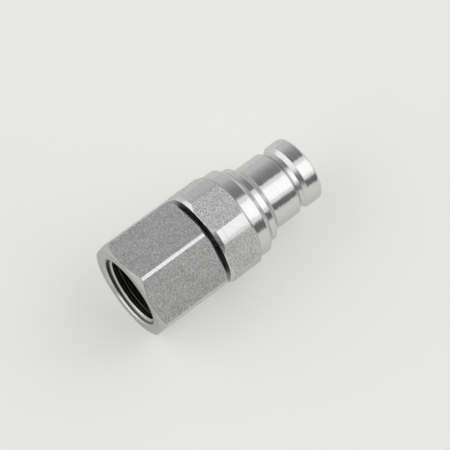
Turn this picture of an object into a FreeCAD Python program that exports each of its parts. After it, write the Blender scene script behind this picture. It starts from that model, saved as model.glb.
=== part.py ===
import FreeCAD, Part
import math
import os

# Quick coupling nipple: the flush-face male half of a hydraulic coupling, with a female pipe port.
# All sizes are millimetres. +X runs along the coupling axis from the port face to the nose,
# +Z is up as the part lies on its two hexagons, and the origin is the centre of the flush nose face.
# The stations below are counted from the port face, and main() moves the pieces to that origin.

# Both hexagons take the same spanner
HEX_ACROSS_FLATS = 27.0
# The body hexagon stops this far round from the adaptor hexagon when it is screwed tight
BODY_HEX_TURN_DEG = 13.7

# Rear adaptor, outside
ADAPTOR_HEX_LENGTH = 22.4
ADAPTOR_CORNER_D = 30.6
PORT_LAND = 2.5
PORT_CHAMFER_DEG = 30.0
INNER_END_FACE_D = 28.6
NECK_UNDERCUT = 0.35
NECK_RUN = 0.7
SPIGOT_D = 20.5
SPIGOT_LEAD = 0.6

# Rear adaptor, inside: female pipe thread, drilled passage and flared end
THREAD_MAJOR_D = 20.955
THREAD_DEPTH = 15.0
COUNTERSINK_D = 21.7
COUNTERSINK_DEG = 90.0
DRILL_POINT_DEG = 118.0
PASSAGE_D = 13.0
FLARE_D = 16.6
FLARE_DEG = 60.0

# Gap between the two hexagons, filled by the sealing ring
SEAL_GAP = 1.7
RING_CLEARANCE = 0.05
# Round rubber and wire are drawn with this many flat sides
SECTION_SIDES = 8

# Nipple body, outside, from the gap to the nose
BODY_END_FACE_D = 26.0
BODY_CHAMFER_DEG = 35.0
BODY_HEX_D = 28.8
BODY_HEX_LENGTH = 11.0
BODY_SHOULDER_DEG = 48.0
COLLAR_D = 26.7
COLLAR_LENGTH = 3.5
COLLAR_EDGE_R = 0.5
BAND_D = 23.3
BAND_LENGTH = 1.65
SHOULDER_DEG = 45.0
NOSE_D = 19.7
NOSE_LENGTH = 8.15
NOSE_ROOT_R = 0.5
GROOVE_D = 17.7
GROOVE_FLOOR = 1.3
GROOVE_FLANK_DEG = 40.0
TIP_LENGTH = 4.42
TIP_EDGE_R = 0.8

# Nipple body, inside, from the gap to the nose
SPIGOT_CLEARANCE = 0.05
COUNTERBORE_LEAD = 0.3
COUNTERBORE_DEPTH = 13.9
MAIN_BORE_D = 16.0
CHAMBER_LENGTH = 5.4
SEAT_DEG = 45.0
BORE_EDGE = 0.2

# Valve poppet
HEAD_D = 13.0
HEAD_CLEARANCE = 0.05
SEAT_CLEARANCE = 0.05
FLANGE_D = 13.9
FLANGE_THICKNESS = 1.4
FLANGE_CLEARANCE = 0.3
STEM_D = 6.0
STEM_TAIL = 2.0
STEM_EDGE = 0.5
SEAL_SECTION = 1.5
BACKUP_WIDTH = 0.4
SEAL_BACK_LAND = 0.45
SEAL_FRONT_LAND = 0.55

# Valve guide
GUIDE_THICKNESS = 1.6
GUIDE_RUNNING_CLEARANCE = 0.05
GUIDE_RIM_CLEARANCE = 0.1
GUIDE_HUB_D = 9.2
GUIDE_HUB_LENGTH = 4.0
GUIDE_PLATE_D = 12.6
GUIDE_LEGS = 3
GUIDE_LEG_WIDTH = 2.6

# Valve spring
SPRING_WIRE_D = 1.1
SPRING_MEAN_D = 11.2
SPRING_TURNS = 6.0
SPRING_END_CLEARANCE = 0.02
CUT_TOLERANCE = 0.0001

X_AXIS = FreeCAD.Vector(1, 0, 0)
ORIGIN = FreeCAD.Vector(0, 0, 0)


def run_for(rise, degrees):
    """Axial run of a taper between two radii, at an angle to the axis."""
    return abs(rise) / math.tan(math.radians(degrees))


# Stations along the axis
BODY_START = ADAPTOR_HEX_LENGTH + SEAL_GAP
COLLAR_START = BODY_START + BODY_HEX_LENGTH
COLLAR_END = COLLAR_START + COLLAR_LENGTH
BAND_START = COLLAR_END + run_for((COLLAR_D - BAND_D) / 2, SHOULDER_DEG)
BAND_END = BAND_START + BAND_LENGTH
NOSE_START = BAND_END + run_for((BAND_D - NOSE_D) / 2, SHOULDER_DEG)
GROOVE_START = NOSE_START + NOSE_LENGTH
GROOVE_RUN = run_for((NOSE_D - GROOVE_D) / 2, GROOVE_FLANK_DEG)
TIP_START = GROOVE_START + 2 * GROOVE_RUN + GROOVE_FLOOR
NOSE_FACE = TIP_START + TIP_LENGTH
GUIDE_SEAT = BODY_START + COUNTERBORE_DEPTH
GUIDE_BACK = GUIDE_SEAT - GUIDE_THICKNESS
SEAL_FRONT = NOSE_FACE - SEAL_FRONT_LAND
SEAL_BACK = SEAL_FRONT - SEAL_SECTION - BACKUP_WIDTH - 3 * RING_CLEARANCE
HEAD_BACK = SEAL_BACK - SEAL_BACK_LAND
SEAT_START = HEAD_BACK + SEAT_CLEARANCE
FLANGE_FRONT = HEAD_BACK - run_for((FLANGE_D - HEAD_D) / 2, SEAT_DEG)
FLANGE_BACK = FLANGE_FRONT - FLANGE_THICKNESS


def section(points):
    """Closed face in the half plane of the axis, from (x, radius, rounding) corners."""
    corners = [FreeCAD.Vector(p[0], p[1], 0) for p in points]
    rounds = [p[2] if len(p) > 2 else 0.0 for p in points]
    count = len(corners)
    edges = []
    joins = []
    for i, here in enumerate(corners):
        if not rounds[i]:
            joins.append((here, here, None))
            continue
        back = (corners[i - 1] - here).normalize()
        ahead = (corners[(i + 1) % count] - here).normalize()
        half = back.getAngle(ahead) / 2
        middle = (back + ahead).normalize()
        reach = rounds[i] / math.tan(half)
        crown = here + middle * (rounds[i] / math.sin(half) - rounds[i])
        joins.append((here + back * reach, here + ahead * reach, crown))
    for i in range(count):
        start, end, crown = joins[i]
        if crown is not None:
            edges.append(Part.Arc(start, crown, end).toShape())
        following = joins[(i + 1) % count][0]
        if end.distanceToPoint(following) > 1e-7:
            edges.append(Part.LineSegment(end, following).toShape())
    return Part.Face(Part.Wire(edges))


def turned(points):
    """Solid of revolution about the coupling axis."""
    return section(points).revolve(ORIGIN, X_AXIS, 360)


def round_section(x, radius, thickness):
    """Corners of a round section of a ring or wire, its flat sides on the true outline."""
    reach = thickness / 2 / math.cos(math.pi / SECTION_SIDES)
    angles = [math.pi * (2 * k + 1) / SECTION_SIDES for k in range(SECTION_SIDES)]
    return [(x + reach * math.cos(a), radius + reach * math.sin(a)) for a in angles]


def hexagon(start, end, flat_deg):
    """Hexagonal prism along the axis, one flat facing flat_deg from +Y towards +Z."""
    radius = HEX_ACROSS_FLATS / math.sqrt(3)
    angles = [math.radians(flat_deg + 30 + 60 * k) for k in range(7)]
    wire = Part.makePolygon(
        [FreeCAD.Vector(start, radius * math.cos(a), radius * math.sin(a)) for a in angles]
    )
    return Part.Face(wire).extrude(X_AXIS * (end - start))


def mill_flats(blank, start, end, clear_r, flat_deg):
    """The turned blank with six flats milled between two stations, out to a clear radius."""
    around = Part.makeCylinder(clear_r, end - start, X_AXIS * start, X_AXIS)
    return blank.cut(around.cut(hexagon(start, end, flat_deg)))


def reach_down(corner_d, flat_deg, down_deg):
    """How far a turned hexagon reaches from the axis in one direction."""
    radius = corner_d / 2
    flat_half = math.degrees(math.acos(min(1.0, HEX_ACROSS_FLATS / corner_d)))
    off = abs((down_deg - flat_deg + 30) % 60 - 30)
    return radius * math.cos(math.radians(max(0.0, flat_half - off)))


def rest_turn():
    """Angle from an adaptor flat to straight down as the part lies on both hexagons."""
    def height(step):
        turn = step / 100
        adaptor = reach_down(ADAPTOR_CORNER_D, 0.0, turn)
        return max(adaptor, reach_down(BODY_HEX_D, BODY_HEX_TURN_DEG, turn))
    return min(range(6000), key=height) / 100


ADAPTOR_FLAT_DEG = 270.0 - rest_turn()
BODY_FLAT_DEG = ADAPTOR_FLAT_DEG + BODY_HEX_TURN_DEG


def make_rear_adaptor():
    """Hexagon bar with the pipe port at one end and a spigot for the body at the other."""
    corner = ADAPTOR_CORNER_D / 2
    thread = THREAD_MAJOR_D / 2
    passage = PASSAGE_D / 2
    neck = SPIGOT_D / 2 - NECK_UNDERCUT
    port_face = COUNTERSINK_D / 2 + PORT_LAND
    inner_face = INNER_END_FACE_D / 2
    port_run = run_for(corner - port_face, 90 - PORT_CHAMFER_DEG)
    inner_run = run_for(corner - inner_face, 90 - PORT_CHAMFER_DEG)
    sink_run = run_for(COUNTERSINK_D / 2 - thread, COUNTERSINK_DEG / 2)
    drill_end = THREAD_DEPTH + run_for(thread - passage, DRILL_POINT_DEG / 2)
    neck_end = BODY_START + NECK_RUN
    lead_end = neck_end + NECK_UNDERCUT
    flare_start = GUIDE_BACK - run_for((FLARE_D - PASSAGE_D) / 2, FLARE_DEG / 2)
    blank = turned([
        (0, COUNTERSINK_D / 2),
        (0, port_face),
        (port_run, corner),
        (ADAPTOR_HEX_LENGTH - inner_run, corner),
        (ADAPTOR_HEX_LENGTH, inner_face),
        (ADAPTOR_HEX_LENGTH, neck),
        (neck_end, neck),
        (lead_end, SPIGOT_D / 2),
        (GUIDE_BACK - SPIGOT_LEAD, SPIGOT_D / 2),
        (GUIDE_BACK, SPIGOT_D / 2 - SPIGOT_LEAD),
        (GUIDE_BACK, FLARE_D / 2),
        (flare_start, passage),
        (drill_end, passage),
        (THREAD_DEPTH, thread),
        (sink_run, thread),
    ])
    return mill_flats(blank, 0, ADAPTOR_HEX_LENGTH, ADAPTOR_CORNER_D, ADAPTOR_FLAT_DEG)


def make_nipple_body():
    """Turned body: hexagon, collar, stepped shoulders, grooved nose and stepped bore."""
    hexagon_r = BODY_HEX_D / 2
    nose = NOSE_D / 2
    counterbore = SPIGOT_D / 2 + SPIGOT_CLEARANCE
    front = HEAD_D / 2 + HEAD_CLEARANCE
    chamber = FLANGE_D / 2 + FLANGE_CLEARANCE
    main = MAIN_BORE_D / 2
    chamfer_run = run_for((BODY_HEX_D - BODY_END_FACE_D) / 2, 90 - BODY_CHAMFER_DEG)
    hex_end = COLLAR_START - run_for((BODY_HEX_D - COLLAR_D) / 2, BODY_SHOULDER_DEG)
    seat_end = SEAT_START - run_for(chamber - front, SEAT_DEG)
    chamber_start = seat_end - CHAMBER_LENGTH
    blank = turned([
        (BODY_START, counterbore + COUNTERBORE_LEAD),
        (BODY_START, BODY_END_FACE_D / 2),
        (BODY_START + chamfer_run, hexagon_r),
        (hex_end, hexagon_r),
        (COLLAR_START, COLLAR_D / 2),
        (COLLAR_END, COLLAR_D / 2, COLLAR_EDGE_R),
        (BAND_START, BAND_D / 2),
        (BAND_END, BAND_D / 2),
        (NOSE_START, nose, NOSE_ROOT_R),
        (GROOVE_START, nose),
        (GROOVE_START + GROOVE_RUN, GROOVE_D / 2),
        (TIP_START - GROOVE_RUN, GROOVE_D / 2),
        (TIP_START, nose),
        (NOSE_FACE, nose, TIP_EDGE_R),
        (NOSE_FACE, front + BORE_EDGE),
        (NOSE_FACE - BORE_EDGE, front),
        (SEAT_START, front),
        (seat_end, chamber),
        (chamber_start, chamber),
        (chamber_start - run_for(main - chamber, SEAT_DEG), main),
        (GUIDE_SEAT, main),
        (GUIDE_SEAT, counterbore),
        (BODY_START + COUNTERBORE_LEAD, counterbore),
    ])
    return mill_flats(blank, BODY_START, COLLAR_START, BODY_HEX_D, BODY_FLAT_DEG)


def make_adaptor_o_ring():
    """Sealing ring on the adaptor's neck, held between the two end faces."""
    thickness = SEAL_GAP - 2 * RING_CLEARANCE
    middle = ADAPTOR_HEX_LENGTH + SEAL_GAP / 2
    return turned(round_section(middle, SPIGOT_D / 2 - NECK_UNDERCUT + SEAL_GAP / 2, thickness))


def make_valve_poppet():
    """Flush-face valve: grooved head, seat cone, spring flange and guided stem."""
    head = HEAD_D / 2
    stem = STEM_D / 2
    tail = GUIDE_BACK - GUIDE_HUB_LENGTH - STEM_TAIL
    floor = head - SEAL_SECTION - RING_CLEARANCE
    return turned([
        (tail, 0),
        (tail, stem - STEM_EDGE),
        (tail + STEM_EDGE, stem),
        (FLANGE_BACK, stem),
        (FLANGE_BACK, FLANGE_D / 2),
        (FLANGE_FRONT, FLANGE_D / 2),
        (HEAD_BACK, head),
        (SEAL_BACK, head),
        (SEAL_BACK, floor),
        (SEAL_FRONT, floor),
        (SEAL_FRONT, head),
        (NOSE_FACE - BORE_EDGE, head),
        (NOSE_FACE, head - BORE_EDGE),
        (NOSE_FACE, 0),
    ])


def make_poppet_o_ring():
    """Sealing ring in the back of the head's groove."""
    middle = SEAL_BACK + RING_CLEARANCE + SEAL_SECTION / 2
    return turned(round_section(middle, (HEAD_D - SEAL_SECTION) / 2, SEAL_SECTION))


def make_poppet_backup_ring():
    """Flat support ring in the front of the head's groove."""
    front = SEAL_FRONT - RING_CLEARANCE
    back = front - BACKUP_WIDTH
    outer = HEAD_D / 2 - RING_CLEARANCE
    inner = HEAD_D / 2 - SEAL_SECTION
    return turned([(back, inner), (back, outer), (front, outer), (front, inner)])


def make_valve_guide():
    """Spider clamped behind the body's step: rim, legs, spring plate and stem hub."""
    bore = STEM_D / 2 + GUIDE_RUNNING_CLEARANCE
    plate = GUIDE_PLATE_D / 2
    rim_out = SPIGOT_D / 2 + SPIGOT_CLEARANCE - GUIDE_RIM_CLEARANCE
    rim_in = FLARE_D / 2
    hub_back = GUIDE_BACK - GUIDE_HUB_LENGTH
    guide = turned([
        (hub_back, bore),
        (hub_back, GUIDE_HUB_D / 2),
        (GUIDE_BACK, GUIDE_HUB_D / 2),
        (GUIDE_BACK, plate),
        (GUIDE_SEAT, plate),
        (GUIDE_SEAT, bore),
    ])
    guide = guide.fuse(turned([
        (GUIDE_BACK, rim_in),
        (GUIDE_BACK, rim_out),
        (GUIDE_SEAT, rim_out),
        (GUIDE_SEAT, rim_in),
    ]))
    inner = (plate + GUIDE_HUB_D / 2) / 2
    outer = (rim_in + rim_out) / 2
    corner = FreeCAD.Vector(GUIDE_BACK, -GUIDE_LEG_WIDTH / 2, inner)
    for k in range(GUIDE_LEGS):
        leg = Part.makeBox(GUIDE_THICKNESS, GUIDE_LEG_WIDTH, outer - inner, corner)
        leg.rotate(ORIGIN, X_AXIS, 360.0 * k / GUIDE_LEGS)
        guide = guide.fuse(leg)
    return guide.removeSplitter()


def make_valve_spring():
    """Compression spring with ground ends, between the guide's plate and the valve's flange."""
    start = GUIDE_SEAT + SPRING_END_CLEARANCE
    end = FLANGE_BACK - SPRING_END_CLEARANCE
    height = end - start
    radius = SPRING_MEAN_D / 2
    helix = Part.makeHelix(height / SPRING_TURNS, height, radius)
    corners = [FreeCAD.Vector(r, 0, z) for z, r in round_section(0, radius, SPRING_WIRE_D)]
    wire = Part.makePolygon(corners + corners[:1])
    coil = Part.Wire(helix.Edges).makePipeShell([wire], True, True)
    coil.rotate(ORIGIN, FreeCAD.Vector(0, 1, 0), 90)
    coil.translate(X_AXIS * start)
    keep = Part.makeCylinder(radius + SPRING_WIRE_D, height, X_AXIS * start, X_AXIS)
    return coil.common(keep, CUT_TOLERANCE)


def main():
    """Build every piece and write one file for each."""
    os.makedirs("parts", exist_ok=True)
    pieces = {
        "nipple_body": make_nipple_body(),
        "rear_adaptor": make_rear_adaptor(),
        "adaptor_o_ring": make_adaptor_o_ring(),
        "valve_poppet": make_valve_poppet(),
        "poppet_o_ring": make_poppet_o_ring(),
        "poppet_backup_ring": make_poppet_backup_ring(),
        "valve_guide": make_valve_guide(),
        "valve_spring": make_valve_spring(),
    }
    for name, shape in pieces.items():
        shape.translate(X_AXIS * -NOSE_FACE)
        shape.exportStep("parts/" + name + ".step")
        print(name, len(shape.Solids), shape.isValid(), round(shape.Volume, 2))
    print("rest turn", round(rest_turn(), 2), "nose face", round(NOSE_FACE, 3))


main()
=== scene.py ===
"""Dressed model of the flush-face male half of a hydraulic quick coupling.

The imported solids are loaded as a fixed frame. Every new piece is a surface worked out with numpy in
millimetres, with stations counted along the coupling axis from the port face, and is then moved to the
frame's own origin.
"""
import logging
import math
from dataclasses import dataclass
from enum import Enum
from typing import Any, Optional, Sequence, Union

import bpy
import numpy as np
from mathutils import Matrix, Vector


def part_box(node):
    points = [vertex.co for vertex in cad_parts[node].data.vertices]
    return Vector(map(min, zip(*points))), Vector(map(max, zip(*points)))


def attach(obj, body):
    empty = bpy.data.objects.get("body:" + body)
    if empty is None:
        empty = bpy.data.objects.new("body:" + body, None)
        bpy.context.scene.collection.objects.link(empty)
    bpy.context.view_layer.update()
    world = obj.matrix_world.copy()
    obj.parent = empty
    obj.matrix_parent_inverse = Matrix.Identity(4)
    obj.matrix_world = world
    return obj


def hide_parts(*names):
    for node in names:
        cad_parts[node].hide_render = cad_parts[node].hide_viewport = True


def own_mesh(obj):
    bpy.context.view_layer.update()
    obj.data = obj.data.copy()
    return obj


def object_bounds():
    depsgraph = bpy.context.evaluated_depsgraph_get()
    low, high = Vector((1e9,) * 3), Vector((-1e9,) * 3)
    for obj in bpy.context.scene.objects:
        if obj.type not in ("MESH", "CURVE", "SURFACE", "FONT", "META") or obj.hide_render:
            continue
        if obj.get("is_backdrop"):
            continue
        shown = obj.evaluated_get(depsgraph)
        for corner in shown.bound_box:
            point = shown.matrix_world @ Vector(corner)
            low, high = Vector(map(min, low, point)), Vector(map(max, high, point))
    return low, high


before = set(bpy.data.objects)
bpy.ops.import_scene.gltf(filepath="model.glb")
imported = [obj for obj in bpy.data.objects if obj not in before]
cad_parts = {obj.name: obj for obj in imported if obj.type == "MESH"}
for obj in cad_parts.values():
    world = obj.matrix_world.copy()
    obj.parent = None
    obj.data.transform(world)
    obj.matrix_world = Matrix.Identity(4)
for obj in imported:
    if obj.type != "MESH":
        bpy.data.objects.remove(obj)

LOG = logging.getLogger("nipple")
MM = 0.001
PORT_FACE_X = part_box("rear_adaptor")[0].x
# Degrees from one flat of a hexagon to the next
HEX_STEP = 60.0
# Most of a straight side that the rounding at one of its ends may take
SIDE_SHARE = 0.48
# Middle of a cloud's or a line's values
MIDDLE = 0.5

Array = np.ndarray
Number = Union[float, Array]
Pair = tuple[float, float]
Colour = tuple[float, float, float]
Point = tuple[float, float, float]


class Zone(Enum):
    """How a band of a metal piece was cut, which decides its finish."""

    TURNED = 0
    FLAT = 1
    BORE = 2
    CORNER = 3
    GROOVE = 4


class Ends(Enum):
    """How a carried section is closed along its path."""

    LOOP = "the last row joins the first"
    CAPPED = "each end is filled by a fan of triangles"


class Reach(Enum):
    """Which surfaces a lamp lights."""

    MIRRORED = "seen in the metal"
    SPREAD = "lights the floor and other matte surfaces"


class Value:
    """A node's output, on which arithmetic adds Math nodes."""

    def __init__(self, tree: "Tree", socket: bpy.types.NodeSocket) -> None:
        """Keep the socket and the tree that it belongs to."""
        self.tree = tree
        self.socket = socket

    def math(self, operation: str, first: Any, second: Any) -> "Value":
        """Add one Math node on two values or numbers."""
        return self.tree.node("ShaderNodeMath", {"operation": operation}, {0: first, 1: second})

    def __add__(self, other: Any) -> "Value":
        """Sum."""
        return self.math("ADD", self, other)

    def __radd__(self, other: Any) -> "Value":
        """Sum with a number first."""
        return self.math("ADD", other, self)

    def __sub__(self, other: Any) -> "Value":
        """Difference."""
        return self.math("SUBTRACT", self, other)

    def __rsub__(self, other: Any) -> "Value":
        """Difference with a number first."""
        return self.math("SUBTRACT", other, self)

    def __mul__(self, other: Any) -> "Value":
        """Product."""
        return self.math("MULTIPLY", self, other)

    def __rmul__(self, other: Any) -> "Value":
        """Product with a number first."""
        return self.math("MULTIPLY", other, self)

    def __pow__(self, other: Any) -> "Value":
        """Power."""
        return self.math("POWER", self, other)

    def __rpow__(self, other: Any) -> "Value":
        """Power of a number."""
        return self.math("POWER", other, self)


class Tree:
    """A shader node tree that is written as expressions."""

    def __init__(self, node_tree: bpy.types.NodeTree) -> None:
        """Empty the tree and keep it."""
        self.node_tree = node_tree
        self.node_tree.nodes.clear()

    def node(
        self,
        kind: str,
        settings: Optional[dict[str, Any]] = None,
        sockets: Optional[dict[Union[int, str], Any]] = None,
        out: Union[int, str, None] = 0,
    ) -> Optional[Value]:
        """Add any node.

        Args:
            kind: The node's type.
            settings: Its properties, which are set first.
            sockets: Numbers, colours or values for its inputs, by name or index.
            out: The output that is handed on, or None for a node without one.

        Returns:
            The chosen output.
        """
        made = self.node_tree.nodes.new(kind)
        for key, setting in (settings or {}).items():
            setattr(made, key, setting)
        for key, given in (sockets or {}).items():
            if isinstance(given, Value):
                self.node_tree.links.new(given.socket, made.inputs[key])
            else:
                made.inputs[key].default_value = given
        return None if out is None else Value(self, made.outputs[out])

    def place(self) -> Value:
        """The point's place on the piece, in metres."""
        return self.node("ShaderNodeTexCoord", out="Object")

    def split(self, vector: Value) -> tuple[Value, Value, Value]:
        """The three parts of a vector."""
        outputs = self.node("ShaderNodeSeparateXYZ", sockets={0: vector}).socket.node.outputs
        return Value(self, outputs[0]), Value(self, outputs[1]), Value(self, outputs[2])

    def noise(self, place: Value, cell: float, detail: float = 2.0) -> Value:
        """Soft cloud between 0 and 1.

        Args:
            place: The point's place, in metres.
            cell: Size of one cloud, in millimetres.
            detail: How many finer layers are added.

        Returns:
            The cloud's value.
        """
        sockets = {"Vector": place, "Scale": 1.0 / (cell * MM), "Detail": detail}
        return self.node("ShaderNodeTexNoise", {"noise_dimensions": "3D"}, sockets)

    def cells(self, place: Value, cell: float) -> Value:
        """A random value between 0 and 1 for each small cell, its size in millimetres."""
        sockets = {"Vector": place, "Scale": 1.0 / (cell * MM)}
        return self.split(self.node("ShaderNodeTexVoronoi", {"feature": "F1"}, sockets, out="Color"))[0]

    def lines(self, along: Value, pitch: float) -> Value:
        """Uneven parallel lines between 0 and 1, across a distance in millimetres."""
        sockets = {"W": along, "Scale": 1.0 / pitch, "Detail": 1.0}
        return self.node("ShaderNodeTexNoise", {"noise_dimensions": "1D"}, sockets)

    def streaks(self, along: Value, y: Value, z: Value, size: Pair) -> Value:
        """Cloud between 0 and 1 that is stretched round the coupling axis.

        Args:
            along: Distance across the streaks, in millimetres.
            y: The point's place beside the axis, in metres.
            z: Its place above the axis.
            size: A streak's width and its length, in millimetres.

        Returns:
            The streak's value.
        """
        width, length = size
        parts = {0: along * (1.0 / width), 1: y * (1.0 / (length * MM)), 2: z * (1.0 / (length * MM))}
        place = self.node("ShaderNodeCombineXYZ", sockets=parts)
        return self.node("ShaderNodeTexNoise", {"noise_dimensions": "3D"}, {"Vector": place, "Scale": 1.0})

    def ease(self, value: Value, low: float, high: float, start: float = 0.0, end: float = 1.0) -> Value:
        """Smooth step of a value.

        Args:
            value: The value that is followed.
            low: Where the step begins.
            high: Where it ends.
            start: Result before the step.
            end: Result after it.

        Returns:
            The stepped value.
        """
        sockets = {"Value": value, "From Min": low, "From Max": high, "To Min": start, "To Max": end}
        return self.node("ShaderNodeMapRange", {"interpolation_type": "SMOOTHSTEP"}, sockets)

    def blend(self, factor: Value, first: Any, second: Any) -> Value:
        """Mix of two colours."""
        sockets = {0: factor, 6: first, 7: second}
        return self.node("ShaderNodeMix", {"data_type": "RGBA"}, sockets, out=2)

    def bump(self, height: Value, depth: float, under: Optional[Value] = None) -> Value:
        """Normal of a fine relief.

        Args:
            height: Its height, from 0 to 1.
            depth: The depth that this stands for, in millimetres.
            under: Normal of a relief that lies under it, if any.

        Returns:
            The normal.
        """
        sockets = {"Strength": 1.0, "Distance": depth * MM, "Height": height}
        if under is not None:
            sockets["Normal"] = under
        return self.node("ShaderNodeBump", sockets=sockets, out="Normal")

    def surface(self, sockets: dict[Union[int, str], Any]) -> None:
        """End the tree in one principled shader with these inputs."""
        shader = self.node("ShaderNodeBsdfPrincipled", sockets=sockets)
        self.node("ShaderNodeOutputMaterial", sockets={"Surface": shader}, out=None)


def opaque(colour: Colour, shade: float = 1.0) -> tuple[float, float, float, float]:
    """Colour times a shade, with full alpha."""
    red, green, blue = (shade * part for part in colour)
    return red, green, blue, 1.0


@dataclass(frozen=True)
class Finish:
    """A procedural finish, which each kind paints in its own way."""

    name: str
    colour: Colour
    roughness: float

    def material(self) -> bpy.types.Material:
        """Make the finish's material.

        Returns:
            The material, with its nodes.
        """
        made = bpy.data.materials.new(self.name)
        made.use_nodes = True
        made.diffuse_color = opaque(self.colour)
        self.paint(Tree(made.node_tree))
        return made

    def paint(self, tree: Tree) -> None:
        """Add the finish's nodes."""
        raise NotImplementedError

    def shaded(self, tree: Tree, share: Value, low: float, high: float) -> Value:
        """The finish's colour, from a low shade of it to a high one as a share grows from 0 to 1."""
        return tree.blend(share, opaque(self.colour, low), opaque(self.colour, high))


@dataclass(frozen=True)
class TurnedMetal(Finish):
    """Plated metal cut on a lathe: fine lines run round the axis, and rings run round end faces."""

    ring_share: float = 2.3
    coarse_pitch: float = 0.7
    fine_pitch: float = 0.22
    coarse_relief: float = 0.6
    line_depth: float = 0.006
    streak: Pair = (0.30, 1.8)
    streak_depth: float = 0.06
    streak_shade: float = 0.91
    high_shade: float = 1.04
    shade_shares: tuple[float, float, float] = (0.5, 0.3, 0.2)
    cloud: float = 5.0
    uneven: float = 0.18
    # Colour that a surface turns to where it is painted dark: painted shade in a bore by default, and the
    # grime's colour in the locking groove
    grime_and_shade_colour: Colour = (0.096, 0.096, 0.082)
    dull_roughness: float = 0.16
    rim: Colour = (0.83, 0.83, 0.83)

    def grime_and_shade(self, tree: Tree, place: Value, x: Value, radius: Value) -> Optional[Value]:
        """Share of the surface that is painted dark, as painted shade in a bore and as grime in the locking
        groove; a plain turned face has none.
        """
        return None

    def paint(self, tree: Tree) -> None:
        """Paint the lines as relief, and streaks along them and wide clouds as shade and gloss.

        The lines follow x plus a share of the radius, so they show on cylinders, cones and end faces alike.
        A streak is a cloud that is short along the axis and long across it.

        Args:
            tree: The material's tree.
        """
        place = tree.place()
        x, y, z = tree.split(place)
        radius = (y * y + z * z) ** 0.5
        along = (x + self.ring_share * radius) * (1.0 / MM)
        coarse = tree.lines(along, self.coarse_pitch)
        fine = tree.lines(along, self.fine_pitch)
        streak = tree.streaks(along, y, z, self.streak)
        cloud = tree.noise(place, self.cloud)
        lines = tree.bump(self.coarse_relief * coarse + (1.0 - self.coarse_relief) * fine, self.line_depth)
        by_streak, by_line, by_cloud = self.shade_shares
        shade = by_streak * streak + by_line * coarse + by_cloud * cloud
        colour = self.shaded(tree, shade, self.streak_shade, self.high_shade)
        roughness = self.roughness + self.uneven * (streak + fine - 2 * MIDDLE)
        # The share turns the colour dark: painted shade in the port's bore, grime in the locking groove
        share = self.grime_and_shade(tree, place, x, radius)
        if share is not None:
            colour = tree.blend(share, colour, opaque(self.grime_and_shade_colour))
            roughness = roughness + self.dull_roughness * share
        tree.surface({
            "Base Color": colour,
            "Metallic": 1.0,
            "Roughness": roughness,
            "Specular Tint": opaque(self.rim),
            "Normal": tree.bump(streak, self.streak_depth, lines),
        })


@dataclass(frozen=True)
class BoredMetal(TurnedMetal):
    """Turned metal of a bore, darkened with depth and in the thread's roots by painted shade."""

    painted_shade_depth: Pair = (1.9, 2.7)
    root_from: Pair = (0.45, 0.60)
    root_r: Pair = (9.75, 10.15)
    root_share: float = 0.9

    def grime_and_shade(self, tree: Tree, place: Value, x: Value, radius: Value) -> Optional[Value]:
        """Share that is painted shade: none on the mouth and the first crest, and all behind them.

        Args:
            tree: The material's tree.
            place: The point's place, in metres; not used here.
            x: Its place along the axis.
            radius: Its distance from the axis.

        Returns:
            The share.
        """
        # Painted shade: darker with depth into the port and in the thread's roots
        depth = (x - PORT_FACE_X) * (1.0 / MM)
        depth_shade = tree.ease(depth, *self.painted_shade_depth)
        root = tree.ease(radius, *(edge * MM for edge in self.root_r)) * tree.ease(depth, *self.root_from)
        return depth_shade + root * self.root_share - depth_shade * root * self.root_share


@dataclass(frozen=True)
class GroovedMetal(TurnedMetal):
    """Turned metal of the locking groove, with specks of grime left along its root."""

    speck: float = 0.45
    speck_from: Pair = (0.52, 0.76)
    root_r: Pair = (8.90, 9.25)
    root_share: float = 0.5

    def grime_and_shade(self, tree: Tree, place: Value, x: Value, radius: Value) -> Optional[Value]:
        """Share that is grime: specks where a fine cloud is high, down in the root."""
        root = tree.ease(radius, *(edge * MM for edge in self.root_r), self.root_share, 0.0)
        return root * tree.ease(tree.noise(place, self.speck), *self.speck_from)


@dataclass(frozen=True)
class DrawnMetal(Finish):
    """Plated flats of a drawn bar: a grit of tiny facets, each with its own tilt and shade."""

    grain: float = 0.22
    grain_depth: float = 0.04
    dark: float = 0.42
    bright: float = 1.54
    cloud: float = 6.0
    uneven: float = 0.14
    rim: Colour = (0.86, 0.86, 0.86)
    speck_size: float = 0.7
    relief_size: float = 0.85
    shade_shares: tuple[float, float, float] = (0.5, 0.4, 0.1)
    facet_gloss: float = 0.7

    def paint(self, tree: Tree) -> None:
        """Paint the facets as relief, shade and gloss, with wide clouds over them.

        Args:
            tree: The material's tree.
        """
        place = tree.place()
        facet = tree.cells(place, self.grain)
        speck = tree.cells(place, self.speck_size * self.grain)
        grain = tree.noise(place, self.relief_size * self.grain, 0.0)
        cloud = tree.noise(place, self.cloud)
        by_facet, by_speck, by_cloud = self.shade_shares
        shade = by_facet * facet + by_speck * speck + by_cloud * cloud
        gloss = self.facet_gloss * facet + (1.0 - self.facet_gloss) * cloud - MIDDLE
        tree.surface({
            "Base Color": self.shaded(tree, shade, self.dark, self.bright),
            "Metallic": 1.0,
            "Roughness": self.roughness + self.uneven * gloss,
            "Specular Tint": opaque(self.rim),
            "Normal": tree.bump(grain, self.grain_depth),
        })


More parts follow.
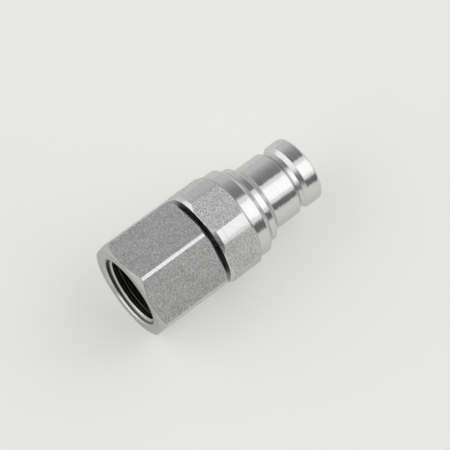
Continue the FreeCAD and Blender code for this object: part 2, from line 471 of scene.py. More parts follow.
@dataclass(frozen=True)
class MouldedRubber(Finish):
    """Matte sealing rubber with a dusty bloom."""

    bloom: Colour = (0.030, 0.036, 0.030)
    bloom_from: Pair = (0.42, 0.75)
    gloss: float = 0.9
    grain: float = 0.12
    grain_depth: float = 0.006
    cloud: float = 1.6
    cloud_detail: float = 3.0
    uneven: float = 0.2

    def paint(self, tree: Tree) -> None:
        """Paint the bloom as colour and the grain as relief.

        Args:
            tree: The material's tree.
        """
        place = tree.place()
        cloud = tree.noise(place, self.cloud, self.cloud_detail)
        grain = tree.noise(place, self.grain)
        bloom = tree.ease(cloud, *self.bloom_from)
        tree.surface({
            "Base Color": tree.blend(bloom, opaque(self.colour), opaque(self.bloom)),
            "Roughness": self.roughness + self.uneven * (cloud - MIDDLE),
            "Specular IOR Level": self.gloss,
            "Normal": tree.bump(grain, self.grain_depth),
        })


@dataclass(frozen=True)
class SeatPlastic(Finish):
    """White sealing plastic, cut on a lathe."""

    pitch: float = 0.14
    depth: float = 0.002
    cloud: float = 1.2
    milky: float = 0.9
    uneven: float = 0.1

    def paint(self, tree: Tree) -> None:
        """Paint faint rings as relief and a slight milky unevenness as colour.

        Args:
            tree: The material's tree.
        """
        place = tree.place()
        x, y, z = tree.split(place)
        rings = tree.lines((x + (y * y + z * z) ** 0.5) * (1.0 / MM), self.pitch)
        cloud = tree.noise(place, self.cloud)
        tree.surface({
            "Base Color": self.shaded(tree, cloud, self.milky, 1.0),
            "Roughness": self.roughness + self.uneven * (cloud - MIDDLE),
            "Normal": tree.bump(rings, self.depth),
        })


@dataclass(frozen=True)
class Paper(Finish):
    """A plain matte sheet, part of whose paleness to the eye is its own and takes no shadow."""

    own_share: float = 0.0
    own_level: float = 0.89
    seen_by: tuple[str, ...] = ("Is Camera Ray", "Is Glossy Ray", "Is Transmission Ray")

    def paint(self, tree: Tree) -> None:
        """Paint one matte colour, mixed with a pale glow that only the camera and mirrored rays see.

        Args:
            tree: The material's tree.
        """
        colour = opaque(self.colour)
        sockets = {"Base Color": colour, "Roughness": self.roughness, "Specular IOR Level": 0.0}
        matte = tree.node("ShaderNodeBsdfPrincipled", sockets=sockets)
        seen = sum((tree.node("ShaderNodeLightPath", out=ray) for ray in self.seen_by), 0.0)
        pale = tree.node("ShaderNodeEmission", sockets={"Color": colour, "Strength": self.own_level})
        mixed = tree.node("ShaderNodeMixShader", sockets={0: self.own_share * seen, 1: matte, 2: pale})
        tree.node("ShaderNodeOutputMaterial", sockets={"Surface": mixed}, out=None)


BODY_TURNED = TurnedMetal("body_turned", (0.71, 0.71, 0.705), 0.16)
BODY_GROOVE = GroovedMetal(
    "body_groove", (0.73, 0.73, 0.725), 0.24,
    streak_depth=0.03, grime_and_shade_colour=(0.22, 0.21, 0.19),
)
BODY_FLATS = DrawnMetal(
    "body_flats", (0.645, 0.645, 0.64), 0.34,
    grain_depth=0.16, dark=0.37, bright=1.61, uneven=0.24,
)
BODY_CORNERS = TurnedMetal(
    "body_corners", (0.67, 0.67, 0.665), 0.20,
    coarse_pitch=0.5, streak_shade=0.86, line_depth=0.02, uneven=0.22,
)
ADAPTOR_TURNED = TurnedMetal("adaptor_turned", (0.565, 0.565, 0.56), 0.22)
ADAPTOR_FLATS = DrawnMetal("adaptor_flats", (0.675, 0.675, 0.67), 0.36)
ADAPTOR_CORNERS = TurnedMetal("adaptor_corners", (0.64, 0.64, 0.635), 0.22)
# The port's bore is painted with shade: darker with depth and in the thread's roots
PORT_BORE = BoredMetal("port_bore", (0.66, 0.66, 0.655), 0.24)
VALVE_TURNED = TurnedMetal(
    "valve_turned", (0.60, 0.60, 0.59), 0.22,
    coarse_pitch=1.6, fine_pitch=0.5, line_depth=0.03, streak=(0.8, 3.0),
)
SPRING_WIRE = TurnedMetal("spring_wire", (0.42, 0.42, 0.42), 0.28)
RUBBER = MouldedRubber("seal_rubber", (0.011, 0.017, 0.012), 0.30)
BACKUP = SeatPlastic("backup_plastic", (0.80, 0.80, 0.77), 0.45)
FLOOR = Paper("floor_paper", (0.90, 0.90, 0.885), 1.0, own_share=0.41)
FLAG = Paper("flag_cloth", (0.18, 0.18, 0.18), 1.0)


@dataclass(frozen=True)
class Station:
    """One corner of a turned outline, the same for every column or with a value for each."""

    x: Number
    r: Number
    rounding: float = 0.05
    steps: int = 4
    zone: Zone = Zone.TURNED


def round_corner(before: Array, here: Array, after: Array, rounding: float, steps: int) -> Array:
    """Round a corner with a circular arc that touches both of its straight sides.

    The arc's centre lies on the bisector at radius / sin(half the corner's angle). The arc starts and ends
    at radius / tan(half the angle) from the corner, or at just under half of the shorter side where that is
    less, and its rows turn evenly from one end to the other.

    Args:
        before: The corner before, (columns, 2).
        here: The corner.
        after: The corner after.
        rounding: Radius of the arc.
        steps: Number of bands on the arc.

    Returns:
        The arc's points, (steps + 1, columns, 2).
    """
    back, ahead = before - here, after - here
    back_run = np.linalg.norm(back, axis=-1, keepdims=True)
    ahead_run = np.linalg.norm(ahead, axis=-1, keepdims=True)
    back, ahead = back / back_run, ahead / ahead_run
    half = np.arccos(np.clip((back * ahead).sum(-1, keepdims=True), -1.0, 1.0)) / 2
    reach = np.minimum(rounding / np.tan(half), SIDE_SHARE * np.minimum(back_run, ahead_run))
    radius = reach * np.tan(half)
    middle = (back + ahead) / np.linalg.norm(back + ahead, axis=-1, keepdims=True)
    centre = here + middle * radius / np.sin(half)
    first, last = here + back * reach - centre, here + ahead * reach - centre
    sweep = np.pi - 2 * half
    share = np.linspace(0.0, 1.0, steps + 1)[:, None, None]
    return centre + (np.sin((1 - share) * sweep) * first + np.sin(share * sweep) * last) / np.sin(sweep)


@dataclass
class Surface:
    """A grid of points closed round its columns, with a finish for each face."""

    points: Array
    zones: Array
    ends: Ends

    def faces(self) -> tuple[Array, Array]:
        """Corner numbers of the quads of the grid and of the triangles that cap it.

        Returns:
            The quads, (faces, 4), and the triangles, (faces, 3).
        """
        rows, columns = self.points.shape[:2]
        number = np.arange(rows * columns).reshape(rows, columns)
        ahead = np.roll(number, -1, axis=1)
        quads = np.stack([number, ahead, np.roll(ahead, -1, axis=0), np.roll(number, -1, axis=0)], axis=-1)
        if self.ends is Ends.LOOP:
            return quads.reshape(-1, 4), np.empty((0, 3), int)
        first, last = np.full(columns, rows * columns), np.full(columns, rows * columns + 1)
        fans = [np.stack([first, ahead[0], number[0]], -1), np.stack([last, number[-1], ahead[-1]], -1)]
        return quads[:-1].reshape(-1, 4), np.concatenate(fans)

    def mesh(self, name: str, finishes: Sequence[bpy.types.Material]) -> bpy.types.Object:
        """Put the surface into a mesh object.

        A corner's normal is the sum of the area vectors of the faces around it, so wide faces stay flat and
        the small bands of a rounded edge carry the turn. The faces are turned outwards by the sign of the
        enclosed volume, the sum of each triangle's triple product.

        Args:
            name: Name of the piece.
            finishes: One material for each zone that is used, in the zones' order.

        Returns:
            The piece, at the origin, with its place in its mesh.
        """
        points = self.points.reshape(-1, 3)
        if self.ends is Ends.CAPPED:
            points = np.concatenate([points, self.points[[0, -1]].mean(axis=1)])
        points = points * MM + np.array([PORT_FACE_X, 0.0, 0.0])
        quads, fans = self.faces()
        triangles = np.concatenate([quads[:, [0, 1, 2]], quads[:, [0, 2, 3]], fans])
        a, b, c = (points[triangles[:, k]] for k in range(3))
        area = np.cross(b - a, c - a)
        if np.einsum("ij,ij->", a, np.cross(b, c)) < 0:
            quads, fans, area = quads[:, ::-1], fans[:, ::-1], -area
        normals = np.zeros_like(points)
        np.add.at(normals, triangles, np.repeat(area[:, None, :], 3, axis=1))
        normals /= np.linalg.norm(normals, axis=1, keepdims=True)
        mesh = bpy.data.meshes.new(name)
        mesh.from_pydata(points.tolist(), [], quads.tolist() + fans.tolist(), shade_flat=False)
        zones = np.concatenate([self.zones.ravel(), np.zeros(len(fans), int)]).astype(np.int32)
        mesh.polygons.foreach_set("material_index", zones)
        mesh.normals_split_custom_set_from_vertices(normals.tolist())
        for finish in finishes:
            mesh.materials.append(finish)
        mesh.update()
        piece = bpy.data.objects.new(name, mesh)
        bpy.context.scene.collection.objects.link(piece)
        return piece


def turn(stations: Sequence[Station], angles: Array, ends: Ends, flats: Optional[Array] = None) -> Surface:
    """Carry an outline of rounded corners round the coupling axis.

    A point at station x, radius r and angle t lies at (x, r cos t, r sin t).

    Args:
        stations: The outline's corners in order.
        angles: The columns' angles from +Y towards +Z.
        ends: Whether the outline is a loop, or ends in two flat faces.
        flats: Which columns lie on a hexagon's flats; elsewhere a band marked as flat is a corner.

    Returns:
        The surface.
    """
    columns = len(angles)
    corners = np.stack([
        np.stack([np.broadcast_to(s.x, columns), np.broadcast_to(s.r, columns)], -1) for s in stations
    ]).astype(float)
    rows, zones = [], []
    for number, station in enumerate(stations):
        before, after = corners[number - 1], corners[(number + 1) % len(stations)]
        here = corners[number]
        loose = ends is Ends.CAPPED and number in (0, len(stations) - 1)
        if station.rounding == 0 or loose:
            arc = here[None]
        else:
            arc = round_corner(before, here, after, station.rounding, station.steps)
        rows.append(arc)
        zones += [Zone.TURNED.value if station.zone is Zone.FLAT else station.zone.value] * (len(arc) - 1)
        zones.append(station.zone.value)
    outline = np.concatenate(rows)
    zone_grid = np.repeat(np.array(zones)[:, None], columns, axis=1)
    if flats is not None:
        zone_grid = np.where((zone_grid == Zone.FLAT.value) & ~flats, Zone.CORNER.value, zone_grid)
    if ends is Ends.CAPPED:
        zone_grid = zone_grid[:-1]
    x, r = outline[..., 0], outline[..., 1]
    points = np.stack([x, r * np.cos(angles), r * np.sin(angles)], axis=-1)
    return Surface(points, zone_grid, ends)


def even_angles(columns: int) -> Array:
    """Evenly spaced angles round the axis."""
    return np.linspace(0.0, 2 * np.pi, columns, endpoint=False)


@dataclass(frozen=True)
class HexBar:
    """A hexagon whose corners are turned to a round."""

    across_flats: float
    corner_d: float
    flat_deg: float
    edge: float = 0.05
    flat_columns: int = 22
    corner_columns: int = 6
    crease_columns: tuple[float, ...] = (-0.5, 0.0, 0.5)

    def half_flat(self) -> float:
        """Half of the angle that a flat spans, in degrees."""
        return math.degrees(math.acos(self.across_flats / self.corner_d))

    def half_edge(self) -> float:
        """Half of the angle over which a flat rounds into a corner, in degrees."""
        slope = self.corner_d / 2 * math.tan(math.radians(self.half_flat()))
        return math.degrees(self.edge / slope)

    def columns(self) -> Array:
        """Angles of the columns, close together where a flat meets a corner.

        Returns:
            The angles in order, in radians.
        """
        flat, edge = self.half_flat(), self.half_edge()
        crease = edge * np.array(self.crease_columns)
        offsets = np.concatenate([
            np.linspace(edge - flat, flat - edge, self.flat_columns + 1),
            flat + crease,
            np.linspace(flat + edge, HEX_STEP - flat - edge, self.corner_columns + 1),
            HEX_STEP - flat + crease,
        ])
        return np.radians(self.flat_deg + offsets[None, :] + HEX_STEP * np.arange(6)[:, None]).ravel()

    def from_flat(self, angles: Array) -> Array:
        """Angle from the middle of the nearest flat, in degrees."""
        return (np.degrees(angles) - self.flat_deg + HEX_STEP / 2) % HEX_STEP - HEX_STEP / 2

    def reach(self, angles: Array) -> Array:
        """How far the bar reaches from the axis at each angle.

        It is the smaller of the flat, half the width / cos(angle from the flat's middle), and the corner's
        radius. Where the two differ by less than the edge, their smaller is lowered by the square of the
        remaining share of the edge / 4, which rounds the crease.

        Args:
            angles: The columns' angles, in radians.

        Returns:
            The reach of each column.
        """
        flat = self.across_flats / 2 / np.cos(np.radians(self.from_flat(angles)))
        corner = self.corner_d / 2
        share = np.clip(1.0 - np.abs(flat - corner) / self.edge, 0.0, None)
        return np.minimum(flat, corner) - share ** 2 * self.edge / 4

    def on_flat(self, angles: Array) -> Array:
        """Whether the face after each column lies on a flat or on the rounded crease beside it."""
        middle = (angles + np.append(angles[1:], angles[0] + 2 * np.pi)) / 2
        return np.abs(self.from_flat(middle)) < self.half_flat() + self.half_edge()


def cone_run(rise: Number, degrees: float) -> Number:
    """Axial run of a taper over a rise in radius, at an angle to the axis."""
    return rise / math.tan(math.radians(degrees))


@dataclass
class Piece:
    """What every piece says of itself: its name, its body, its finish slot and the solid it stands for."""

    name: str
    body: str
    slot: str
    node: str

    def build(self) -> None:
        """Build and dress the piece."""
        raise NotImplementedError

    def seat(self, skin: Surface, *finishes: Finish) -> bpy.types.Object:
        """Make the piece from its surface, let it ride on its body in place of its solid, and report it.

        Args:
            skin: The piece's surface.
            finishes: One finish for each zone that it uses, in the zones' order.

        Returns:
            The piece.
        """
        made = skin.mesh(self.name, [finish.material() for finish in finishes])
        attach(made, self.body)
        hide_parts(self.node)
        low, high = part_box(self.node)
        points = np.empty(len(made.data.vertices) * 3)
        made.data.vertices.foreach_get("co", points)
        points = points.reshape(-1, 3)
        gap = max(np.abs(points.min(0) - low).max(), np.abs(points.max(0) - high).max()) / MM
        LOG.info("%s: %d faces, within %.3f mm of its solid's box", self.name, len(made.data.polygons), gap)
        return made


@dataclass
class HexPiece(Piece):
    """A turned piece with a hexagon, whose columns follow the hexagon's corners."""

    hexagon: HexBar
    finishes: tuple[Finish, ...]

    def stations(self, angles: Array) -> list[Station]:
        """Corners of the piece's outline in order, at the columns' angles."""
        raise NotImplementedError

    def build(self) -> None:
        """Carry the outline round the axis and dress it."""
        angles = self.hexagon.columns()
        skin = turn(self.stations(angles), angles, Ends.LOOP, self.hexagon.on_flat(angles))
        self.seat(skin, *self.finishes)


@dataclass
class NippleBody(HexPiece):
    """Turned body: hexagon, collar, stepped shoulders, grooved nose and stepped bore."""

    name: str = "nipple_body_skin"
    body: str = "shell"
    slot: str = "body_zinc"
    node: str = "nipple_body"
    hexagon: HexBar = HexBar(27.0, 28.8, 278.53, 0.12)
    finishes: tuple[Finish, ...] = (BODY_TURNED, BODY_FLATS, PORT_BORE, BODY_CORNERS, BODY_GROOVE)
    start: float = 24.1
    end_face_d: float = 27.2
    end_edge: float = 0.10
    chamfer_deg: float = 55.0
    edge_break: float = 0.15
    hex_length: float = 11.0
    tool_rings: tuple[float, ...] = (1.1, 2.6, 3.0)
    ring_width: float = 0.09
    ring_depth: float = 0.07
    shoulder_deg: float = 48.0
    collar_d: float = 26.7
    collar_length: float = 3.5
    collar_edge: float = 0.5
    band_d: float = 23.3
    band_length: float = 1.65
    band_root: float = 0.12
    band_edge: float = 0.08
    step_deg: float = 45.0
    nose_d: float = 19.7
    nose_length: float = 8.15
    nose_root: float = 0.5
    round_steps: int = 8
    groove_d: float = 17.7
    groove_floor: float = 1.3
    groove_deg: float = 40.0
    groove_edge: float = 0.12
    tip_length: float = 4.42
    tip_edge: float = 0.8
    tip_steps: int = 10
    mouth_d: float = 13.1
    mouth_edge: float = 0.2
    seat_back: float = 3.0
    seat_deg: float = 45.0
    chamber_d: float = 14.5
    chamber_length: float = 5.4
    main_bore_d: float = 16.0
    counterbore_d: float = 20.6
    counterbore_lead: float = 0.3
    counterbore_depth: float = 13.9

    def stations(self, angles: Array) -> list[Station]:
        """Corners of the body's outline, from the gap round the outside and back through the bore.

        Args:
            angles: The columns' angles.

        Returns:
            The corners in order.
        """
        reach = self.hexagon.reach(angles)
        end_r = np.minimum(self.end_face_d / 2, reach - self.edge_break)
        chamfer_end = self.start + cone_run(reach - end_r, 90 - self.chamfer_deg)
        collar, band = self.collar_d / 2, self.band_d / 2
        nose, groove, mouth = self.nose_d / 2, self.groove_d / 2, self.mouth_d / 2
        chamber, main, counter = self.chamber_d / 2, self.main_bore_d / 2, self.counterbore_d / 2
        collar_start = self.start + self.hex_length
        collar_end = collar_start + self.collar_length
        band_start = collar_end + cone_run(collar - band, self.step_deg)
        band_end = band_start + self.band_length
        nose_start = band_end + cone_run(band - nose, self.step_deg)
        groove_start = nose_start + self.nose_length
        flank = cone_run(nose - groove, self.groove_deg)
        tip_start = groove_start + 2 * flank + self.groove_floor
        face = tip_start + self.tip_length
        seat_start = face - self.seat_back
        seat_end = seat_start - cone_run(chamber - mouth, self.seat_deg)
        chamber_start = seat_end - self.chamber_length
        step = self.start + self.counterbore_depth
        ring_r = np.minimum(reach, self.hexagon.corner_d / 2 - self.ring_depth)
        rings = [
            Station(self.start + at + side * self.ring_width, r, 0.0, zone=Zone.FLAT)
            for at in self.tool_rings
            for side, r in ((-1, reach), (0, ring_r), (1, reach))
        ]
        bores = (
            (face - self.mouth_edge, mouth),
            (seat_start, mouth),
            (seat_end, chamber),
            (chamber_start, chamber),
            (chamber_start - cone_run(main - chamber, self.seat_deg), main),
            (step, main),
            (step, counter),
        )
        return [
            Station(self.start, counter + self.counterbore_lead),
            Station(self.start, end_r, self.end_edge),
            Station(chamfer_end, reach, self.end_edge, zone=Zone.FLAT),
            *rings,
            Station(collar_start - cone_run(reach - collar, self.shoulder_deg), reach),
            Station(collar_start, collar),
            Station(collar_end, collar, self.collar_edge, self.round_steps),
            Station(band_start, band, self.band_root),
            Station(band_end, band, self.band_edge),
            Station(nose_start, nose, self.nose_root, self.round_steps),
            Station(groove_start, nose, self.groove_edge, zone=Zone.GROOVE),
            Station(groove_start + flank, groove, self.groove_edge, zone=Zone.GROOVE),
            Station(tip_start - flank, groove, self.groove_edge, zone=Zone.GROOVE),
            Station(tip_start, nose, self.groove_edge),
            Station(face, nose, self.tip_edge, self.tip_steps),
            Station(face, mouth + self.mouth_edge),
            *(Station(x, r, zone=Zone.BORE) for x, r in bores),
            Station(self.start + self.counterbore_lead, counter),
        ]


@dataclass
class RearAdaptor(HexPiece):
    """Hexagon bar with the threaded pipe port at one end and a spigot in the body at the other."""

    name: str = "rear_adaptor_skin"
    body: str = "shell"
    slot: str = "adaptor_zinc"
    node: str = "rear_adaptor"
    hexagon: HexBar = HexBar(27.0, 30.6, 264.83, corner_columns=4)
    finishes: tuple[Finish, ...] = (ADAPTOR_TURNED, ADAPTOR_FLATS, PORT_BORE, ADAPTOR_CORNERS)
    hex_length: float = 22.4
    port_face_d: float = 26.7
    face_edge: float = 0.06
    chamfer_deg: float = 30.0
    outer_edge: float = 0.14
    inner_face_d: float = 28.6
    inner_edge: float = 0.12
    edge_break: float = 0.06
    neck_d: float = 19.8
    neck_end: float = 24.8
    neck_root: float = 0.2
    spigot_d: float = 20.5
    spigot_end: float = 36.4
    spigot_lead: float = 0.6
    flare_d: float = 16.6
    flare_deg: float = 30.0
    flare_root: float = 0.3
    passage_d: float = 13.0
    drill_deg: float = 59.0
    drill_edge: float = 0.15
    thread_major_d: float = 20.955
    thread_minor_d: float = 18.631
    thread_pitch: float = 1.814
    thread_depth: float = 15.0
    thread_flank_deg: float = 27.5
    thread_fade: float = 2.2
    relief: float = 0.8
    relief_root: float = 0.2
    thread_start: float = 1.7
    thread_start_deg: float = 297.3
    mouth_d: float = 21.7
    mouth_deg: float = 45.0
    mouth_edge: float = 0.07
    mouth_reach: Pair = (0.3, 2.0)
    mouth_rows: int = 26
    rows_per_pitch: int = 20

    def thread(self, x: Array, angles: Array) -> Array:
        """Radius of the female thread at each station and angle.

        The ridge is a triangle wave, arcsin(cos p) * 2 / pi, stretched until its flanks have the thread's
        angle and cut flat at crest and root. Its phase p gains a full turn every pitch along the axis and
        loses one every turn round it, so the helix is right-handed. The ridge's height eases to nothing
        before the relief at the bottom. The countersink, a cone that narrows inwards from the mouth, cuts
        the ridge wherever the cone is wider.

        Args:
            x: Stations, (rows, 1).
            angles: Columns' angles, (columns,).

        Returns:
            The radii, (rows, columns).
        """
        along = 2 * np.pi * (x - self.thread_start) / self.thread_pitch
        phase = along - angles + math.radians(self.thread_start_deg)
        full = (self.thread_major_d - self.thread_minor_d) / 2
        steep = self.thread_pitch / 2 / (full * math.tan(math.radians(self.thread_flank_deg)))
        wave = np.clip(steep * 2 / np.pi * np.arcsin(np.cos(phase)), -1.0, 1.0)
        share = np.clip((self.thread_depth - self.relief - x) / self.thread_fade, 0.0, 1.0)
        ridge = self.thread_major_d / 2 - full * share ** 2 * (3 - 2 * share) * (1 + wave) / 2
        cone = self.mouth_d / 2 - x * math.tan(math.radians(self.mouth_deg))
        return np.maximum(ridge, cone)

    def thread_stations(self, angles: Array) -> list[Station]:
        """Rows of the thread from its bottom to the mouth, close together where the countersink cuts it.

        Args:
            angles: The columns' angles.

        Returns:
            A station for each row, with a radius for every column.
        """
        first, inner = self.mouth_reach
        depth = self.thread_depth - self.relief
        rows = math.ceil((depth - inner) / self.thread_pitch * self.rows_per_pitch)
        x = np.concatenate([
            np.linspace(depth, inner, rows, endpoint=False),
            np.linspace(inner, first, self.mouth_rows),
        ])
        radii = self.thread(x[:, None], angles)
        return [Station(at, radius, 0.0, zone=Zone.BORE) for at, radius in zip(x, radii)]

    def stations(self, angles: Array) -> list[Station]:
        """Corners of the adaptor's outline, from the port face round the outside and back through the port.

        Args:
            angles: The columns' angles.

        Returns:
            The corners in order.
        """
        reach = self.hexagon.reach(angles)
        face, inner, neck = self.port_face_d / 2, self.inner_face_d / 2, self.neck_d / 2
        spigot, flare, passage = self.spigot_d / 2, self.flare_d / 2, self.passage_d / 2
        major = self.thread_major_d / 2
        taper = 90 - self.chamfer_deg
        inner_run = np.maximum(cone_run(reach - inner, taper), self.edge_break)
        inner_r = np.minimum(inner, reach - self.edge_break)
        flare_start = self.spigot_end - cone_run(flare - passage, self.flare_deg)
        drill_end = self.thread_depth + cone_run(major - passage, self.drill_deg)
        bore = Zone.BORE
        return [
            Station(0.0, face, self.face_edge),
            Station(cone_run(reach - face, taper), reach, self.outer_edge, zone=Zone.FLAT),
            Station(self.hex_length - inner_run, reach, self.inner_edge),
            Station(self.hex_length, inner_r, self.inner_edge),
            Station(self.hex_length, neck, self.neck_root),
            Station(self.neck_end, neck),
            Station(self.neck_end + spigot - neck, spigot),
            Station(self.spigot_end - self.spigot_lead, spigot),
            Station(self.spigot_end, spigot - self.spigot_lead),
            Station(self.spigot_end, flare, zone=bore),
            Station(flare_start, passage, self.flare_root, zone=bore),
            Station(drill_end, passage, self.drill_edge, zone=bore),
            Station(self.thread_depth, major, self.relief_root, zone=bore),
            *self.thread_stations(angles),
            Station(0.0, self.mouth_d / 2, self.mouth_edge),
        ]


@dataclass
class SealRing(Piece):
    """A sealing ring of round section."""

    middle_x: float
    middle_r: float
    thickness: float
    flash: float = 0.02
    flash_power: int = 40
    section_points: int = 28
    columns: int = 200

    def build(self) -> None:
        """Build and dress the ring.

        The section is a circle with a low ridge of mould flash at its inner and outer rims, carried round
        the axis. The ridge follows a high power of the sine of the angle round the section.
        """
        around = even_angles(self.section_points)[:, None]
        angles = even_angles(self.columns)[None, :]
        radius = self.thickness / 2 - self.flash + self.flash * np.abs(np.sin(around)) ** self.flash_power
        x = np.broadcast_to(self.middle_x + radius * np.cos(around), (self.section_points, self.columns))
        r = self.middle_r + radius * np.sin(around)
        points = np.stack([x, r * np.cos(angles), r * np.sin(angles)], axis=-1)
        self.seat(Surface(points, np.zeros(points.shape[:2], int), Ends.LOOP), RUBBER)


@dataclass
class ValvePoppet(Piece):
    """Flush-face valve: grooved head, seat cone, spring flange and guided stem."""

    name: str = "valve_poppet_skin"
    body: str = "valve"
    slot: str = "valve_steel"
    node: str = "valve_poppet"
    face: float = 60.0035
    tail: float = 30.4
    stem_d: float = 6.0
    stem_edge: float = 0.5
    cap_r: float = 0.3
    flange_back: float = 55.1035
    flange_front: float = 56.5035
    flange_d: float = 13.9
    flange_root: float = 0.2
    head_back: float = 56.9535
    head_d: float = 13.0
    seal_back: float = 57.4035
    seal_front: float = 59.4535
    seal_floor_d: float = 9.9
    face_edge: float = 0.2
    columns: int = 180

    def build(self) -> None:
        """Build and dress the valve."""
        stem, flange = self.stem_d / 2, self.flange_d / 2
        head, floor = self.head_d / 2, self.seal_floor_d / 2
        stations = [
            Station(self.tail, self.cap_r),
            Station(self.tail, stem - self.stem_edge),
            Station(self.tail + self.stem_edge, stem),
            Station(self.flange_back, stem, self.flange_root),
            Station(self.flange_back, flange),
            Station(self.flange_front, flange),
            Station(self.head_back, head),
            Station(self.seal_back, head),
            Station(self.seal_back, floor),
            Station(self.seal_front, floor),
            Station(self.seal_front, head),
            Station(self.face - self.face_edge, head),
            Station(self.face, head - self.face_edge),
            Station(self.face, self.cap_r),
        ]
        self.seat(turn(stations, even_angles(self.columns), Ends.CAPPED), VALVE_TURNED)


@dataclass
class BackupRing(Piece):
    """Flat support ring in front of the head's sealing ring."""

    name: str = "poppet_backup_band"
    body: str = "valve"
    slot: str = "backup_plastic"
    node: str = "poppet_backup_ring"
    back: float = 59.0035
    front: float = 59.4035
    inner_r: float = 5.0
    outer_r: float = 6.45
    columns: int = 160

    def build(self) -> None:
        """Build and dress the ring."""
        stations = [
            Station(self.back, self.inner_r),
            Station(self.back, self.outer_r),
            Station(self.front, self.outer_r),
            Station(self.front, self.inner_r),
        ]
        self.seat(turn(stations, even_angles(self.columns), Ends.LOOP), BACKUP)


@dataclass
class ValveSpring(Piece):
    """Compression spring with ground ends, between the guide's plate and the valve's flange."""

    name: str = "valve_spring_coil"
    body: str = "shell"
    slot: str = "spring_steel"
    node: str = "valve_spring"
    start: float = 38.02
    end: float = 55.0835
    mean_d: float = 11.2
    wire_d: float = 1.1
    turns: float = 6.0
    joint: str = "valve_slide"
    travel: float = 9.0
    rows_per_turn: int = 72
    section_points: int = 16

    def build(self) -> None:
        """Build and dress the spring.

        The wire's centre runs along a right-handed helix, its section is a circle square to the helix, and
        what would pass the two end planes is pressed flat against them, as grinding leaves it.
        """
        rows = round(self.turns * self.rows_per_turn) + 1
        at = np.linspace(0.0, 2 * np.pi * self.turns, rows)[:, None]
        around = even_angles(self.section_points)[None, :]
        mean, wire = self.mean_d / 2, self.wire_d / 2
        rise = (self.end - self.start) / (2 * np.pi * self.turns)
        lean = math.atan2(rise, mean)
        out, up = wire * np.cos(around), wire * np.sin(around)
        x = np.clip(self.start + rise * at + up * math.cos(lean), self.start, self.end)
        r, side = mean + out, -up * math.sin(lean)
        y = r * np.sin(at) + side * np.cos(at)
        z = side * np.sin(at) - r * np.cos(at)
        points = np.stack([x, y, z], axis=-1)
        skin = Surface(points, np.zeros((rows - 1, self.section_points), int), Ends.CAPPED)
        made = self.seat(skin, SPRING_WIRE)
        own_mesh(made)


@dataclass
class ValveGuide:
    """Spider that holds the valve's stem; its solid is shown as it is."""

    node: str = "valve_guide"

    def dress(self) -> None:
        """Give the solid its finish."""
        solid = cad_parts[self.node]
        solid.data.materials.clear()
        solid.data.materials.append(VALVE_TURNED.material())
        LOG.info("%s: the solid, dressed", self.node)


@dataclass(frozen=True)
class SoftBox:
    """A rectangular lamp of even brightness that faces the part."""

    name: str
    toward: Point
    along: Point
    size: Pair
    radiance: float
    distance: float = 2.5
    reach: Reach = Reach.MIRRORED

    def hang(self) -> None:
        """Hang the lamp square to its direction from the part.

        Its size is given at a distance of one, and its power is worked out from its area and brightness.
        """
        back = Vector(self.toward).normalized()
        across = Vector(self.along).cross(back).normalized()
        lamp = bpy.data.lights.new(self.name, "AREA")
        lamp.shape = "RECTANGLE"
        lamp.size, lamp.size_y = (self.distance * side for side in self.size)
        lamp.energy = math.pi * lamp.size * lamp.size_y * self.radiance
        hung = bpy.data.objects.new(self.name, lamp)
        turned = Matrix((across, back.cross(across), back)).transposed()
        hung.matrix_world = Matrix.Translation(self.distance * back) @ turned.to_4x4()
        hung.visible_camera = False
        hung.visible_glossy = self.reach is Reach.MIRRORED
        hung.visible_diffuse = self.reach is Reach.SPREAD
        bpy.context.scene.collection.objects.link(hung)


@dataclass
class Room:
    """The dim room round the part: how brightly its sides glow, and where one side eases into the next.

    Each easing lies between two values of x, y or z of the direction from the part.
    """

    front_glow: float = 0.17
    back_glow: float = 0.67
    back_y: Pair = (-0.35, 0.35)
    zenith_glow: Pair = (0.52, 0.20)
    zenith_x: Pair = (-0.30, 0.02)
    zenith_z: Pair = (0.35, 1.05)
    left_glow: float = 0.74
    left_x: Pair = (-0.75, -0.55)
    left_y: Pair = (-0.45, -0.15)
    right_glow: float = 1.0
    right_x: Pair = (0.60, 0.80)
    right_y: Pair = (-0.75, -0.50)
    right_fade_y: Pair = (-0.20, 0.05)
    horizon_glow: float = 0.80
    horizon_z: Pair = (0.03, 0.07)

    def light(self) -> None:
        """Give the world the room's glow.

        The room is dim in front and paler behind. Behind, it dims again towards the zenith, the more so on
        the nose's side. A pale patch stands at each end of the part, and all below the horizon is pale.
        """
        world = bpy.data.worlds.new("room")
        world.use_nodes = True
        bpy.context.scene.world = world
        tree = Tree(world.node_tree)
        x, y, z = tree.split(tree.node("ShaderNodeTexCoord", out="Generated"))
        zenith = tree.ease(x, *self.zenith_x, *self.zenith_glow)
        back = self.back_glow + tree.ease(z, *self.zenith_z) * (zenith - self.back_glow)
        glow = self.front_glow + tree.ease(y, *self.back_y) * (back - self.front_glow)
        left = tree.ease(x, *self.left_x, 1.0, 0.0) * tree.ease(y, *self.left_y)
        right = tree.ease(x, *self.right_x) * tree.ease(y, *self.right_y)
        right_glow = tree.ease(y, *self.right_fade_y, self.right_glow, self.left_glow)
        glow = glow + left * (self.left_glow - glow)
        glow = glow + right * (right_glow - glow)
        glow = glow + tree.ease(z, *self.horizon_z, 1.0, 0.0) * (self.horizon_glow - glow)
        shader = tree.node("ShaderNodeBackground", sockets={"Color": glow, "Strength": 1.0})
        tree.node("ShaderNodeOutputWorld", sockets={"Surface": shader}, out=None)


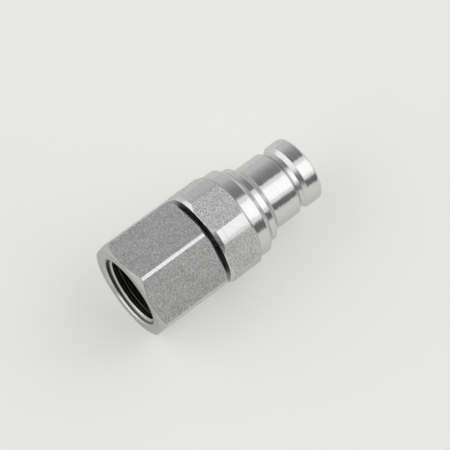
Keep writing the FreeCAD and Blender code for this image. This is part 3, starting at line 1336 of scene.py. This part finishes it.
@dataclass
class Studio:
    """Pale floor, soft lamps and the camera."""

    floor_half: float = 15.0
    lamps: tuple[SoftBox, ...] = (
        SoftBox("front_box", (0.23, -0.616, 0.753), (0.0, 0.774, 0.633), (1.58, 1.39), 0.80),
        SoftBox("front_core", (0.311, -0.588, 0.747), (0.0, 0.766, 0.643), (0.60, 0.73), 0.45, 2.4),
        SoftBox("left_box", (-0.80, 0.373, 0.469), (0.422, 0.906, 0.0), (0.90, 1.56), 0.50),
        SoftBox("right_box", (0.945, -0.237, 0.219), (0.259, 0.966, 0.0), (0.22, 0.34), 0.7),
        SoftBox("floor_front", (0.50, -0.68, 0.54), (0.81, 0.59, 0.0), (1.6, 1.0), 1.35, 2.5, Reach.SPREAD),
        SoftBox("floor_back", (-0.60, 0.60, 0.50), (0.70, 0.70, 0.0), (1.2, 0.8), 0.86, 2.5, Reach.SPREAD),
        SoftBox("floor_nose", (0.85, 0.0, 0.50), (0.0, 1.0, 0.0), (1.2, 0.8), 0.53, 2.5, Reach.SPREAD),
        SoftBox("floor_port", (-0.85, 0.0, 0.50), (0.0, 1.0, 0.0), (1.2, 0.8), 0.87, 2.5, Reach.SPREAD),
    )
    flag_at: float = -0.17
    flag_reach: Pair = (-0.50, 0.20)
    flag_top: float = 0.0595
    lens: float = 137.5
    sensor: float = 36.0
    camera_at: Point = (-0.171809, -0.203377, 0.392128)
    camera_turn_deg: Point = (32.31093, 2.73588, -39.83653)

    def sheet(self, name: str, corners: Sequence[Point], finish: Finish) -> bpy.types.Object:
        """Put up one flat sheet of the studio.

        Args:
            name: Name of the sheet.
            corners: Its four corners in order.
            finish: Its finish.

        Returns:
            The sheet.
        """
        mesh = bpy.data.meshes.new(name)
        mesh.from_pydata(corners, [], [[0, 1, 2, 3]])
        mesh.materials.append(finish.material())
        made = bpy.data.objects.new(name, mesh)
        bpy.context.scene.collection.objects.link(made)
        made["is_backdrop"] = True
        return made

    def lay_floor(self) -> None:
        """Lay the floor under the part's lowest point, and stand a dark flag for the metal to mirror."""
        half, low = self.floor_half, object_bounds()[0][2]
        corners = ((-half, -half), (half, -half), (half, half), (-half, half))
        self.sheet("floor", [(x, y, low) for x, y in corners], FLOOR)
        left, right = self.flag_reach
        top, y = self.flag_top, self.flag_at
        flag = self.sheet("flag", [(right, y, low), (left, y, low), (left, y, top), (right, y, top)], FLAG)
        flag.visible_camera = flag.visible_diffuse = flag.visible_shadow = False

    def set_camera(self) -> None:
        """Set the camera at the photograph's viewing angle."""
        lens = bpy.data.cameras.new("camera")
        lens.lens, lens.sensor_width, lens.sensor_fit = self.lens, self.sensor, "HORIZONTAL"
        camera = bpy.data.objects.new("camera", lens)
        camera.location = self.camera_at
        camera.rotation_euler = tuple(math.radians(angle) for angle in self.camera_turn_deg)
        bpy.context.scene.collection.objects.link(camera)
        bpy.context.scene.camera = camera

    def set_up(self) -> None:
        """Lay the floor, hang the lamps, light the room and set the camera."""
        self.lay_floor()
        for lamp in self.lamps:
            lamp.hang()
        Room().light()
        self.set_camera()
        bpy.context.scene.view_settings.view_transform = "Standard"


def main() -> None:
    """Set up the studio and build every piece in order."""
    logging.basicConfig(level=logging.INFO, format="%(message)s")
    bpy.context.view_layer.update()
    Studio().set_up()
    pieces = (
        NippleBody(),
        RearAdaptor(),
        SealRing(
            "adaptor_seal_ring", "shell", "seal_rubber", "adaptor_o_ring",
            middle_x=23.25, middle_r=10.75, thickness=1.6,
        ),
        ValvePoppet(),
        SealRing(
            "poppet_seal_ring", "valve", "seal_rubber", "poppet_o_ring",
            middle_x=58.2035, middle_r=5.75, thickness=1.5,
        ),
        BackupRing(),
        ValveSpring(),
    )
    for piece in pieces:
        piece.build()
    ValveGuide().dress()
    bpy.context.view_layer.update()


if __name__ == "__main__":
    main()
